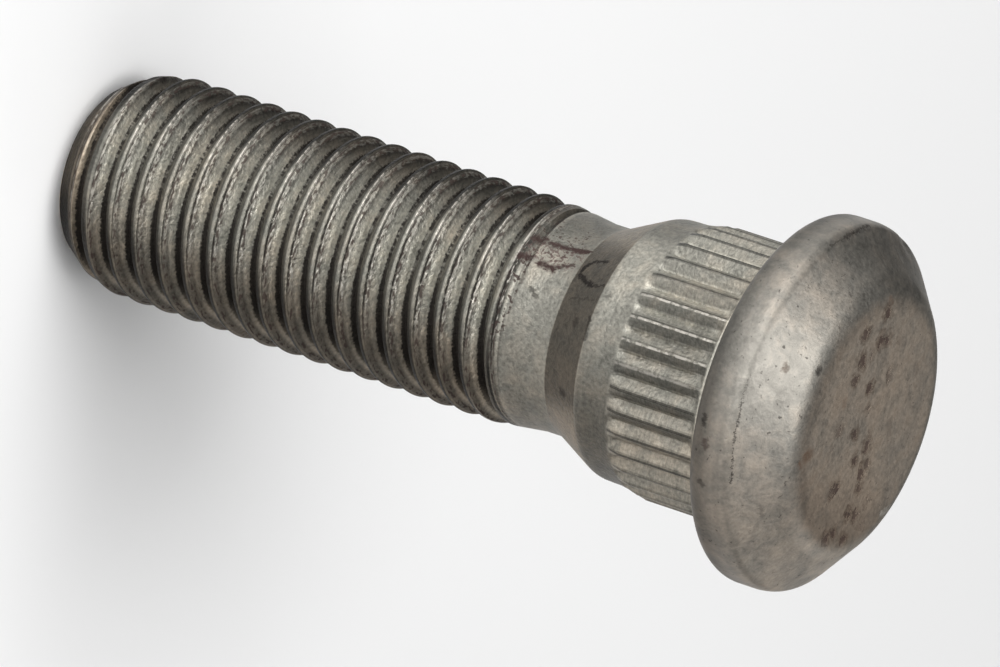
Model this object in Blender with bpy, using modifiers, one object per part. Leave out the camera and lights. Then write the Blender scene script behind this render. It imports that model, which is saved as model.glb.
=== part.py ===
"""Press-in wheel stud: one cold-forged piece with a round head, serrations and a rolled thread.

The stud stands on the flat end of its thread with its head up. The origin is the centre of
that end, +Z runs along the axis to the head, and every size is in metres.
"""
import math

import bmesh
import bpy
from mathutils import Matrix, Vector

MM = 0.001

# Rolled right-hand thread: its full crests end first, then its groove fades out of the shank
THREAD_DIAMETER = 11.66 * MM
THREAD_PITCH = 1.5 * MM
THREAD_DEPTH = 0.92 * MM
THREAD_CREST_FLAT = 0.24 * MM
THREAD_ROOT_FLAT = 0.2 * MM
THREAD_LENGTH = 25.1 * MM
THREAD_FADE_DELAY = 0.5 * MM
THREAD_FADE_LENGTH = 1.8 * MM
THREAD_START_HEIGHT = 0.49 * MM

# Chamfered end of the thread, steep at first and then gentle up to the full crest
TIP_FACE_DIAMETER = 8.4 * MM
TIP_EDGE_ROUND = 0.2 * MM
TIP_CHAMFER_DIAMETER = 10.8 * MM
TIP_CHAMFER_LENGTH = 1.6 * MM
TIP_LEAD_LENGTH = 1.5 * MM

# Tapered shank, neck, and the ramp up to the collar
SHANK_TAPER_LENGTH = 3.3 * MM
NECK_DIAMETER = 10.84 * MM
NECK_LENGTH = 1.25 * MM
RAMP_LENGTH = 2.75 * MM
RAMP_BLEND_LENGTH = 0.35 * MM
COLLAR_DIAMETER = 13.52 * MM
COLLAR_LENGTH = 1.1 * MM

# Serrations that bite into the bore of the hub
SERRATION_COUNT = 36
SERRATION_DIAMETER = 14.2 * MM
SERRATION_DEPTH = 0.39 * MM
SERRATION_CREST_WIDTH = 0.25 * MM
SERRATION_LEAD_LENGTH = 1.4 * MM
SERRATION_LENGTH = 4.9 * MM
SERRATION_GROOVE_SETBACK = 0.7 * MM
SERRATION_GROOVE_BEVEL = 0.45 * MM
SERRATION_BAND_LENGTH = 0.35 * MM

# Plain relief under the head
RELIEF_DIAMETER = 13.7 * MM
RELIEF_LENGTH = 0.65 * MM
RELIEF_FILLET = 0.3 * MM

# Head
HEAD_DIAMETER = 19.0 * MM
HEAD_THICKNESS = 4.65 * MM
HEAD_REAR_ROUND = 0.75 * MM
HEAD_LAND_LENGTH = 1.1 * MM
HEAD_SHOULDER_STEP = 0.12 * MM
HEAD_SHOULDER_LENGTH = 0.5 * MM
HEAD_FACE_DIAMETER = 12.4 * MM
HEAD_FACE_ROUND = 2.2 * MM

# How finely the round surfaces are divided
SHAFT_STEPS = 36
HEAD_STEPS = 72
ARC_STEPS = 4
MERGE_DISTANCE = 0.01 * MM
SHARP_ANGLE = math.radians(25.0)

# Heights above the flat end, worked out from the lengths
NECK_START = THREAD_LENGTH + SHANK_TAPER_LENGTH
RAMP_START = NECK_START + NECK_LENGTH
COLLAR_START = RAMP_START + RAMP_LENGTH
SERRATION_START = COLLAR_START + COLLAR_LENGTH
SERRATION_FULL = SERRATION_START + SERRATION_LEAD_LENGTH
RELIEF_START = SERRATION_FULL + SERRATION_LENGTH
BEARING_FACE = RELIEF_START + RELIEF_LENGTH
HEAD_FACE = BEARING_FACE + HEAD_THICKNESS
INSIDE_HEAD = (BEARING_FACE + HEAD_FACE) / 2

# Grey phosphated steel
STEEL_COLOUR = (0.17, 0.165, 0.155, 1.0)
STEEL_ROUGHNESS = 0.5
STEEL_METALLIC = 0.75


def clear_scene():
    """Remove whatever the scene holds before the stud is made."""
    for item in list(bpy.data.objects):
        bpy.data.objects.remove(item, do_unlink=True)


def new_collection(name):
    """Add a collection to the scene."""
    group = bpy.data.collections.new(name)
    bpy.context.scene.collection.children.link(group)
    return group


def steel_material():
    """Dull grey steel of the whole stud."""
    material = bpy.data.materials.new("phosphated_steel")
    material.use_nodes = True
    shader = material.node_tree.nodes["Principled BSDF"]
    shader.inputs["Base Color"].default_value = STEEL_COLOUR
    shader.inputs["Roughness"].default_value = STEEL_ROUGHNESS
    shader.inputs["Metallic"].default_value = STEEL_METALLIC
    return material


def soft_corner(before, corner, after, reach, steps):
    """Points of a curve that rounds a corner of an outline, starting and ending on its sides."""
    corner = Vector(corner)
    start = corner + (Vector(before) - corner).normalized() * reach
    end = corner + (Vector(after) - corner).normalized() * reach
    points = []
    for step in range(steps + 1):
        way = step / steps
        points.append(tuple(start.lerp(corner, way).lerp(corner.lerp(end, way), way)))
    return points


def arc(centre, radius, start_angle, end_angle, steps):
    """Points of an arc about a (radius, height) centre, with both ends."""
    points = []
    for step in range(steps + 1):
        angle = start_angle + (end_angle - start_angle) * step / steps
        points.append((centre[0] + radius * math.cos(angle), centre[1] + radius * math.sin(angle)))
    return points


def add_object(name, mesh, group):
    """Put a mesh into a collection as a new object."""
    item = bpy.data.objects.new(name, mesh)
    group.objects.link(item)
    return item


def turned(name, profile, steps, group):
    """Turn (radius, height) points that run down the outer side about the Z axis."""
    mesh = bpy.data.meshes.new(name)
    vertices = [(radius, 0, height) for radius, height in profile]
    mesh.from_pydata(vertices, [(index, index + 1) for index in range(len(profile) - 1)], [])
    item = add_object(name, mesh, group)
    screw = item.modifiers.new("turn", "SCREW")
    screw.axis = "Z"
    screw.steps = steps
    screw.render_steps = steps
    screw.use_merge_vertices = True
    screw.merge_threshold = MERGE_DISTANCE
    return item


def make_guide(item):
    """Mark an object as one that only shapes the stud."""
    item.hide_render = True
    item.display_type = "WIRE"
    return item


def shaft_profile():
    """Outline of the shaft, from inside the head down to the middle of the flat end."""
    relief = RELIEF_DIAMETER / 2
    serration = SERRATION_DIAMETER / 2
    collar = COLLAR_DIAMETER / 2
    neck = NECK_DIAMETER / 2
    thread = THREAD_DIAMETER / 2
    tip_face = TIP_FACE_DIAMETER / 2
    tip_length = TIP_CHAMFER_LENGTH + TIP_LEAD_LENGTH
    points = [(0, INSIDE_HEAD), (relief + RELIEF_FILLET, INSIDE_HEAD)]
    points += arc((relief + RELIEF_FILLET, BEARING_FACE - RELIEF_FILLET), RELIEF_FILLET,
                  math.pi / 2, math.pi, ARC_STEPS)
    points += [(relief, RELIEF_START), (serration, RELIEF_START)]
    points += [(serration, SERRATION_FULL), (collar, SERRATION_START)]
    points += soft_corner((collar, SERRATION_START), (collar, COLLAR_START), (neck, RAMP_START),
                          RAMP_BLEND_LENGTH, ARC_STEPS)
    points += soft_corner((collar, COLLAR_START), (neck, RAMP_START), (neck, NECK_START),
                          RAMP_BLEND_LENGTH, ARC_STEPS)
    points += [(neck, NECK_START), (thread, THREAD_LENGTH), (thread, tip_length)]
    points += [(TIP_CHAMFER_DIAMETER / 2, TIP_CHAMFER_LENGTH)]
    points += [(tip_face + TIP_EDGE_ROUND / 2, TIP_EDGE_ROUND), (tip_face, 0), (0, 0)]
    return points


def head_profile():
    """Outline of the head, from the middle of its outer face to the middle of its bearing side."""
    radius = HEAD_DIAMETER / 2
    round_top = BEARING_FACE + HEAD_REAR_ROUND
    land_top = round_top + HEAD_LAND_LENGTH
    chamfer_foot = land_top + HEAD_SHOULDER_LENGTH
    face_edge = HEAD_FACE_DIAMETER / 2
    points = [(0, HEAD_FACE)]
    points += arc((face_edge, HEAD_FACE - HEAD_FACE_ROUND), HEAD_FACE_ROUND,
                  math.pi / 2, math.pi / 4, ARC_STEPS)
    points += [(radius - HEAD_SHOULDER_STEP, chamfer_foot), (radius, land_top)]
    points += arc((radius - HEAD_REAR_ROUND, round_top), HEAD_REAR_ROUND, 0, -math.pi / 2, ARC_STEPS)
    points += [(0, BEARING_FACE)]
    return points


def thread_groove(group):
    """Cutter for the thread: a helical groove that rises out of the shank at its end.

    Each section is a trapezium, narrow at the root of the thread and wider than the groove
    outside the crests, and still a little narrower than one pitch.
    """
    crest = THREAD_DIAMETER / 2
    flank_run = (THREAD_PITCH - THREAD_CREST_FLAT - THREAD_ROOT_FLAT) / 2
    side_overrun = THREAD_CREST_FLAT / 4
    overrun = side_overrun * THREAD_DEPTH / flank_run
    inner_half = THREAD_ROOT_FLAT / 2
    outer_half = inner_half + flank_run + side_overrun
    first = THREAD_START_HEIGHT - THREAD_PITCH
    fade_start = THREAD_LENGTH + THREAD_FADE_DELAY
    last = fade_start + THREAD_FADE_LENGTH
    count = math.ceil((last - first) / THREAD_PITCH * SHAFT_STEPS)
    shape = bmesh.new()
    rings = []
    for step in range(count + 1):
        turn = Matrix.Rotation(math.tau * step / SHAFT_STEPS, 4, "Z")
        height = first + THREAD_PITCH * step / SHAFT_STEPS
        lift = max(0, height - fade_start) / THREAD_FADE_LENGTH * (THREAD_DEPTH + overrun)
        inner = crest - THREAD_DEPTH + lift
        outer = crest + overrun + lift
        section = [(inner, -inner_half), (outer, -outer_half), (outer, outer_half), (inner, inner_half)]
        rings.append([shape.verts.new(turn @ Vector((radius, 0, height + rise)))
                      for radius, rise in section])
    corners = len(section)
    for lower, upper in zip(rings, rings[1:]):
        for corner in range(corners):
            after = (corner + 1) % corners
            shape.faces.new((lower[corner], upper[corner], upper[after], lower[after]))
    shape.faces.new(rings[0])
    shape.faces.new(reversed(rings[-1]))
    bmesh.ops.recalc_face_normals(shape, faces=shape.faces)
    mesh = bpy.data.meshes.new("thread_groove")
    shape.to_mesh(mesh)
    shape.free()
    return make_guide(add_object("thread_groove", mesh, group))


def serration_grooves(group):
    """Cutter for the serrations: a ring of four-sided bars with pointed ends.

    A bar's inner edge is the root of a V groove, and its outer half lies clear of the crests.
    """
    crest = SERRATION_DIAMETER / 2
    spacing = math.tau * crest / SERRATION_COUNT
    opening = spacing - SERRATION_CREST_WIDTH
    stretch = (opening + spacing) / 2 / opening
    half_depth = SERRATION_DEPTH * stretch
    half_width = opening / 2 * stretch
    bottom = SERRATION_START + SERRATION_GROOVE_SETBACK
    top = RELIEF_START - SERRATION_BAND_LENGTH
    bar_bottom = bottom + SERRATION_GROOVE_BEVEL
    bar_top = top - SERRATION_GROOVE_BEVEL
    shape = bmesh.new()
    bmesh.ops.create_cone(shape, cap_ends=True, segments=4, radius1=1, radius2=1,
                          depth=bar_top - bar_bottom)
    bmesh.ops.translate(shape, vec=(0, 0, (bar_top + bar_bottom) / 2), verts=shape.verts)
    for cap in [face for face in shape.faces if abs(face.normal.z) > abs(face.normal.x)]:
        point = bmesh.ops.poke(shape, faces=[cap])["verts"][0]
        point.co.z = top if point.co.z > bar_bottom else bottom
    bmesh.ops.scale(shape, vec=(half_depth, half_width, 1), verts=shape.verts)
    bmesh.ops.translate(shape, vec=(crest - SERRATION_DEPTH + half_depth, 0, 0), verts=shape.verts)
    half_step = Matrix.Rotation(math.pi / SERRATION_COUNT, 3, "Z")
    bmesh.ops.rotate(shape, cent=(0, 0, 0), matrix=half_step, verts=shape.verts)
    copies = SERRATION_COUNT - 1
    bmesh.ops.spin(shape, geom=shape.verts[:] + shape.edges[:] + shape.faces[:], cent=(0, 0, 0),
                   axis=(0, 0, 1), angle=math.tau * copies / SERRATION_COUNT, steps=copies,
                   use_duplicate=True)
    mesh = bpy.data.meshes.new("serration_grooves")
    shape.to_mesh(mesh)
    shape.free()
    return make_guide(add_object("serration_grooves", mesh, group))


def combine(item, operation, other):
    """Cut or join another object into this one."""
    step = item.modifiers.new(other.name, "BOOLEAN")
    step.operation = operation
    step.solver = "EXACT"
    step.object = other


def settle(item):
    """Turn an object's modifiers into its mesh and shade it smooth between sharp edges."""
    graph = bpy.context.evaluated_depsgraph_get()
    mesh = bpy.data.meshes.new_from_object(item.evaluated_get(graph))
    mesh.name = item.name
    mesh.shade_smooth()
    mesh.set_sharp_from_angle(angle=SHARP_ANGLE)
    item.modifiers.clear()
    item.data = mesh


def build_stud():
    """The whole stud as one solid."""
    stud_parts = new_collection("wheel_stud")
    guides = new_collection("wheel_stud_cutters")
    stud = turned("wheel_stud", shaft_profile(), SHAFT_STEPS, stud_parts)
    head = make_guide(turned("head_blank", head_profile(), HEAD_STEPS, guides))
    combine(stud, "UNION", head)
    combine(stud, "DIFFERENCE", serration_grooves(guides))
    combine(stud, "DIFFERENCE", thread_groove(guides))
    settle(stud)
    stud.data.materials.clear()
    stud.data.materials.append(steel_material())
    return stud


clear_scene()
build_stud()
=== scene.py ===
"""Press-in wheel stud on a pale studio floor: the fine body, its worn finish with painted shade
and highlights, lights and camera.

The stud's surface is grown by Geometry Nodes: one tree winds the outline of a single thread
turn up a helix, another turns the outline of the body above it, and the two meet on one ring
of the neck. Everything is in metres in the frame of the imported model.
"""
from __future__ import annotations

import logging
import math
from dataclasses import dataclass
from enum import Enum
from functools import reduce

import bpy
from mathutils import Matrix, Vector


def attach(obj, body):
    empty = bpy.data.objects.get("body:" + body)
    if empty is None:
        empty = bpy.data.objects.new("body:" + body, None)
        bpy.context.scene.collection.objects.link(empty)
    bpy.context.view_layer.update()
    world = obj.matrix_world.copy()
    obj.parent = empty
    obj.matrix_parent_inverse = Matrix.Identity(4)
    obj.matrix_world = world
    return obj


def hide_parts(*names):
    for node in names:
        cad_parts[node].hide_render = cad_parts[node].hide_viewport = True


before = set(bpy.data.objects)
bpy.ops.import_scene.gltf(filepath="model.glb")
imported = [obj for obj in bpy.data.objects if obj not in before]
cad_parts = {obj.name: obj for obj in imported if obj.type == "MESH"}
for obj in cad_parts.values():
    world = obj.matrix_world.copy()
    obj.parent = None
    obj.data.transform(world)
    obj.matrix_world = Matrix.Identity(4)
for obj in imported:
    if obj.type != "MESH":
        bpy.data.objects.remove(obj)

MM = 0.001
LOG = logging.getLogger("wheel_stud")

NECK_RADIUS, JOIN_HEIGHT = 5.42, 28.6  # ring, in millimetres, where thread and body meet
LIT_POINT = (0.0, 0.0, 0.025)  # middle of the stud, in metres

Point = tuple[float, float]
Place = tuple[float, float, float]
Span = tuple[float, float]


class Wire:
    """A node socket that takes part in Python expressions.

    Args:
        sheet: the sheet of nodes that the socket belongs to.
        socket: the output socket itself.
    """

    def __init__(self, sheet: Sheet, socket: bpy.types.NodeSocket) -> None:
        """Keep the sheet and the socket."""
        self.sheet = sheet
        self.socket = socket

    def _do(self, operation: str, *values: Wire | float) -> Wire:
        """Add one Math node on the given values."""
        return self.sheet.add("ShaderNodeMath", {"operation": operation},
                              dict(enumerate(values)))

    def __add__(self, other: Wire | float) -> Wire:
        """Sum."""
        return self._do("ADD", self, other)

    def __sub__(self, other: Wire | float) -> Wire:
        """Difference."""
        return self._do("SUBTRACT", self, other)

    def __rsub__(self, other: float) -> Wire:
        """Difference with a number on the left."""
        return self._do("SUBTRACT", other, self)

    def __mul__(self, other: Wire | float) -> Wire:
        """Product."""
        return self._do("MULTIPLY", self, other)

    def __truediv__(self, other: Wire | float) -> Wire:
        """Quotient."""
        return self._do("DIVIDE", self, other)

    def __rtruediv__(self, other: float) -> Wire:
        """Quotient of a number on the left."""
        return self._do("DIVIDE", other, self)

    def __mod__(self, other: Wire | float) -> Wire:
        """Remainder that stays positive."""
        return self._do("FLOORED_MODULO", self, other)

    def __lt__(self, other: Wire | float) -> Wire:
        """One where this is the smaller, zero elsewhere."""
        return self._do("LESS_THAN", self, other)

    def __abs__(self) -> Wire:
        """Distance from zero."""
        return self._do("ABSOLUTE", self)

    def floor(self) -> Wire:
        """Whole number below."""
        return self._do("FLOOR", self)

    def sin(self) -> Wire:
        """Sine."""
        return self._do("SINE", self)

    def cos(self) -> Wire:
        """Cosine."""
        return self._do("COSINE", self)

    def least(self, other: Wire | float) -> Wire:
        """Smaller of two values."""
        return self._do("MINIMUM", self, other)

    def most(self, other: Wire | float) -> Wire:
        """Larger of two values."""
        return self._do("MAXIMUM", self, other)

    def least_soft(self, other: Wire | float, blend: float) -> Wire:
        """Smaller of two values, rounded where they cross."""
        return self._do("SMOOTH_MIN", self, other, blend)

    def step(self, start: float, end: float, low: float = 0.0, high: float = 1.0,
             soft: bool = True) -> Wire:
        """Value that goes from low to high as this goes from start to end.

        Args:
            start: where the change begins.
            end: where it is complete; it may lie below start.
            low: value before the start.
            high: value past the end.
            soft: ease in and out, or else change evenly.

        Returns:
            The new value.
        """
        way = "SMOOTHSTEP" if soft else "LINEAR"
        return self.sheet.add("ShaderNodeMapRange", {"interpolation_type": way},
                              {"Value": self, "From Min": start, "From Max": end,
                               "To Min": low, "To Max": high})

    def between(self, start: Span, end: Span) -> Wire:
        """One between two soft edges, each given by where it begins and is complete."""
        return self.step(*start) * self.step(*end)

    def within(self, zone: Wire) -> Wire:
        """Keep this inside a zone and one outside it."""
        return (self - 1) * zone + 1

    def toned(self, mask: Wire, amount: Wire | float) -> Wire:
        """This, raised by a share of itself where the mask is one, or lowered below zero."""
        return self * (mask * amount + 1)

    def band(self, middle: float, half: float, edge: float) -> Wire:
        """One within half of the middle, easing to zero over the edge.

        Args:
            middle: middle of the band.
            half: half its width.
            edge: width of the soft edge outside it.

        Returns:
            The mask.
        """
        return abs(self - middle).step(half + edge, half)


class Sheet:
    """A node tree that is filled from Python.

    Args:
        tree: the tree to fill.
    """

    def __init__(self, tree: bpy.types.NodeTree) -> None:
        """Keep the tree."""
        self.tree = tree

    def add(self, kind: str, settings: dict | None = None, inputs: dict | None = None,
            output: int | str = 0) -> Wire:
        """Add one node.

        Args:
            kind: the node's type name.
            settings: properties, set first.
            inputs: numbers, colours or wires by socket name or number.
            output: socket to return.

        Returns:
            The wire of that output.
        """
        node = self.tree.nodes.new(kind)
        for name, value in (settings or {}).items():
            setattr(node, name, value)
        for name, value in (inputs or {}).items():
            socket = node.inputs[name]
            if isinstance(value, Wire):
                self.tree.links.new(value.socket, socket)
            else:
                socket.default_value = value
        return Wire(self, node.outputs[output])

    def vector(self, x: Wire | float, y: Wire | float, z: Wire | float) -> Wire:
        """Vector of three values."""
        return self.add("ShaderNodeCombineXYZ", {}, {"X": x, "Y": y, "Z": z})

    def parts(self, vector: Wire) -> tuple[Wire, Wire, Wire]:
        """The three values of a vector."""
        first = self.add("ShaderNodeSeparateXYZ", {}, {0: vector})
        node = first.socket.node
        return first, Wire(self, node.outputs[1]), Wire(self, node.outputs[2])

    def about(self, operation: str, *values: Wire | Place | float) -> Wire:
        """Vector Math node; LENGTH, DISTANCE and DOT_PRODUCT give a value.

        Args:
            operation: the node's operation.
            values: its vectors, or a vector and a scale for SCALE.

        Returns:
            The vector or the value.
        """
        is_value = operation in ("LENGTH", "DISTANCE", "DOT_PRODUCT")
        inputs = {"Scale" if operation == "SCALE" and number else number: value
                  for number, value in enumerate(values)}
        return self.add("ShaderNodeVectorMath", {"operation": operation}, inputs,
                        "Value" if is_value else "Vector")

    def noise(self, vector: Wire, scale: float, detail: float = 2.0,
              roughness: float = 0.5, distortion: float = 0.0) -> Wire:
        """Noise about one half.

        Args:
            vector: where the noise is read.
            scale: its waves per unit of length.
            detail: number of finer layers.
            roughness: strength of the finer layers.
            distortion: how far it is bent.

        Returns:
            The noise.
        """
        return self.add("ShaderNodeTexNoise", {},
                        {"Vector": vector, "Scale": scale, "Detail": detail,
                         "Roughness": roughness, "Distortion": distortion}, "Fac")

    def mix(self, factor: Wire | float, first: Wire | tuple, second: Wire | tuple,
            blend: str = "MIX") -> Wire:
        """Mix two colours.

        Args:
            factor: share of the second.
            first: colour at zero.
            second: colour at one.
            blend: how they mix.

        Returns:
            The colour.
        """
        return self.add("ShaderNodeMix", {"data_type": "RGBA", "blend_type": blend},
                        {0: factor, 6: first, 7: second}, 2)


@dataclass(frozen=True)
class ThreadForm:
    """Sizes of the rolled right-hand thread and of the shank that carries it, in millimetres.

    The outline of one turn starts and ends in the middle of a root. It is given as shares of
    the pitch along the axis, and shares of the depth above the root. The crest is round and
    has the fold that rolling leaves, a little on the head's side of its middle.
    """

    diameter: float = 11.66
    pitch: float = 1.5
    depth: float = 0.92
    start_height: float = 0.49
    fade_start: float = 25.6
    fade_length: float = 1.8
    lift_gain: float = 1.12
    chamfer_blend: float = 0.12
    columns: int = 120
    tip_face_radius: float = 4.2
    tip_steps: tuple[tuple[float, float, float], ...] = (
        (0.0, 0.28, 0.33), (0.28, 1.6, 0.87), (1.6, 3.1, 0.43))
    taper_start: float = 25.1
    taper_end: float = 28.4
    neck_radius: float = NECK_RADIUS
    join_height: float = JOIN_HEIGHT
    outline: tuple[Point, ...] = (
        (0.0, 0.0), (0.05, 0.008), (0.075, 0.03), (0.16, 0.255), (0.25, 0.505), (0.33, 0.725),
        (0.365, 0.81), (0.4, 0.875), (0.435, 0.925), (0.47, 0.962), (0.5, 0.985),
        (0.53, 0.998), (0.555, 1.0), (0.58, 0.975), (0.6, 0.905), (0.617, 0.845),
        (0.635, 0.875), (0.655, 0.865), (0.68, 0.795), (0.72, 0.69), (0.8, 0.455),
        (0.87, 0.25), (0.935, 0.06), (0.96, 0.012), (1.0, 0.0))


@dataclass(frozen=True)
class SerrationForm:
    """Sizes of the straight serrations under the head, in millimetres and degrees."""

    count: int = 36
    crest_radius: float = 7.1
    depth: float = 0.41
    crest_width: float = 0.12
    phase: float = -0.8
    bottom: float = 33.74
    top: float = 39.4
    bevel: float = 0.98
    top_bevel: float = 0.75
    clearance: float = 1.64
    crowding: Span = (1.3, 0.35)
    columns: int = 360


def bend(before: Point, corner: Point, after: Point, reach: float, steps: int) -> list[Point]:
    """Round one corner of an outline.

    Args:
        before: point before the corner.
        corner: the corner.
        after: point after it.
        reach: how far along each side the rounding goes.
        steps: number of pieces it is made of.

    Returns:
        Points of the rounded corner.
    """
    middle = Vector(corner)
    start = middle + (Vector(before) - middle).normalized() * reach
    end = middle + (Vector(after) - middle).normalized() * reach
    ways = [step / steps for step in range(steps + 1)]
    return [tuple(start.lerp(middle, way).lerp(middle.lerp(end, way), way)) for way in ways]


def arc(centre: Point, radius: float, start: float, end: float, steps: int) -> list[Point]:
    """Arc of an outline.

    Args:
        centre: its centre.
        radius: its radius.
        start: first angle in degrees.
        end: last angle in degrees.
        steps: number of pieces it is made of.

    Returns:
        Points of the arc with both ends.
    """
    angles = [math.radians(start + (end - start) * step / steps) for step in range(steps + 1)]
    return [(centre[0] + radius * math.cos(turn), centre[1] + radius * math.sin(turn))
            for turn in angles]


def run(start: Point, end: Point, steps: int) -> list[Point]:
    """Points that cut a straight side in equal steps, without its two ends."""
    return [tuple(Vector(start).lerp(Vector(end), step / steps)) for step in range(1, steps)]


@dataclass(frozen=True)
class BodyForm:
    """Outline of the body from the neck up to the middle of the head's face, in millimetres."""

    neck_radius: float = NECK_RADIUS
    join_height: float = JOIN_HEIGHT
    ramp_foot: Point = (5.42, 29.68)
    collar_edge: Point = (6.76, 32.36)
    serration_foot: Point = (6.79, 33.5)
    serration_radius: float = 7.1
    serration_full: float = 34.95
    neck_rings: Span = (28.9, 29.15)
    lead_in: tuple[Point, ...] = (
        (6.83, 33.8), (6.875, 34.05), (6.9, 34.2), (6.92, 34.28), (6.945, 34.37), (6.98, 34.5),
        (7.0, 34.56), (7.02, 34.65), (7.055, 34.8))
    serration_end: float = 39.0
    serration_rings: tuple[float, ...] = (39.0, 39.12, 39.24, 39.35, 39.45, 39.62)
    relief_start: float = 39.8
    relief_radius: float = 6.85
    fillet: float = 0.3
    bearing_height: float = 40.45
    bearing_rings: Span = (7.7, 8.3)
    head_radius: float = 9.5
    rear_round: float = 0.75
    land_top: float = 42.3
    shoulder: Point = (9.38, 42.8)
    face_radius: float = 6.05
    face_round: float = 1.9
    face_height: float = 45.1
    face_rings: tuple[float, ...] = (0.93, 0.85, 0.76, 0.66, 0.56, 0.46, 0.36, 0.26, 0.16, 0.07)

    def outline(self) -> list[Point]:
        """Points from the ring of the neck to the pole of the head, in order.

        Returns:
            Radius and height of each point.
        """
        neck = (self.neck_radius, self.join_height)
        full = (self.serration_radius, self.serration_full)
        points = [neck, *((self.neck_radius, height) for height in self.neck_rings)]
        points += bend(neck, self.ramp_foot, self.collar_edge, 0.38, 5)
        points += run(self.ramp_foot, self.collar_edge, 6)[1:-1]
        points += bend(self.ramp_foot, self.collar_edge, self.serration_foot, 0.3, 5)
        points += run(self.collar_edge, self.serration_foot, 4)[1:]
        points += [self.serration_foot, *self.lead_in, full]
        points += run(full, (self.serration_radius, self.serration_end), 9)
        points += [(self.serration_radius, height) for height in self.serration_rings]
        points += bend(points[-1], (self.serration_radius, self.relief_start),
                       (self.relief_radius, self.relief_start), 0.1, 3)
        points += [(self.relief_radius, self.relief_start + 0.03)]
        centre = (self.relief_radius + self.fillet, self.bearing_height - self.fillet)
        points += arc(centre, self.fillet, 180, 90, 4)
        points += [(radius, self.bearing_height) for radius in self.bearing_rings]
        round_centre = self.head_radius - self.rear_round
        points += arc((round_centre, self.bearing_height + self.rear_round), self.rear_round,
                      -90, 0, 8)
        points += run((self.head_radius, self.bearing_height + self.rear_round),
                      (self.head_radius, self.land_top), 4)
        top = (self.head_radius, self.land_top)
        half = math.sqrt(0.5)
        face_centre = (self.face_radius, self.face_height - self.face_round)
        cone_end = (face_centre[0] + self.face_round * half,
                    face_centre[1] + self.face_round * half)
        points += bend((self.head_radius, self.land_top - 1), top, self.shoulder, 0.22, 4)
        points += bend(top, self.shoulder, cone_end, 0.26, 5)
        points += run(self.shoulder, cone_end, 9)[1:]
        points += arc(face_centre, self.face_round, 45, 90, 9)
        points += [(self.face_radius * share, self.face_height) for share in self.face_rings]
        points += [(0.0, self.face_height)]
        return points


@dataclass(frozen=True)
class Dent:
    """A knock in the surface: where it is, how wide and how deep, in millimetres."""

    place: Place
    radius: float
    depth: float


THREAD_NUMBERS = ("Thread Radius", "Pitch", "Depth", "First Root", "Fade Start", "Fade Length",
                  "Join Height")
BODY_NUMBERS = ("Groove Depth", "Crest Width", "Serration Radius", "Groove Bottom", "Groove Top",
                "Bevel", "Top Bevel", "Join Height", "Phase")


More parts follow.
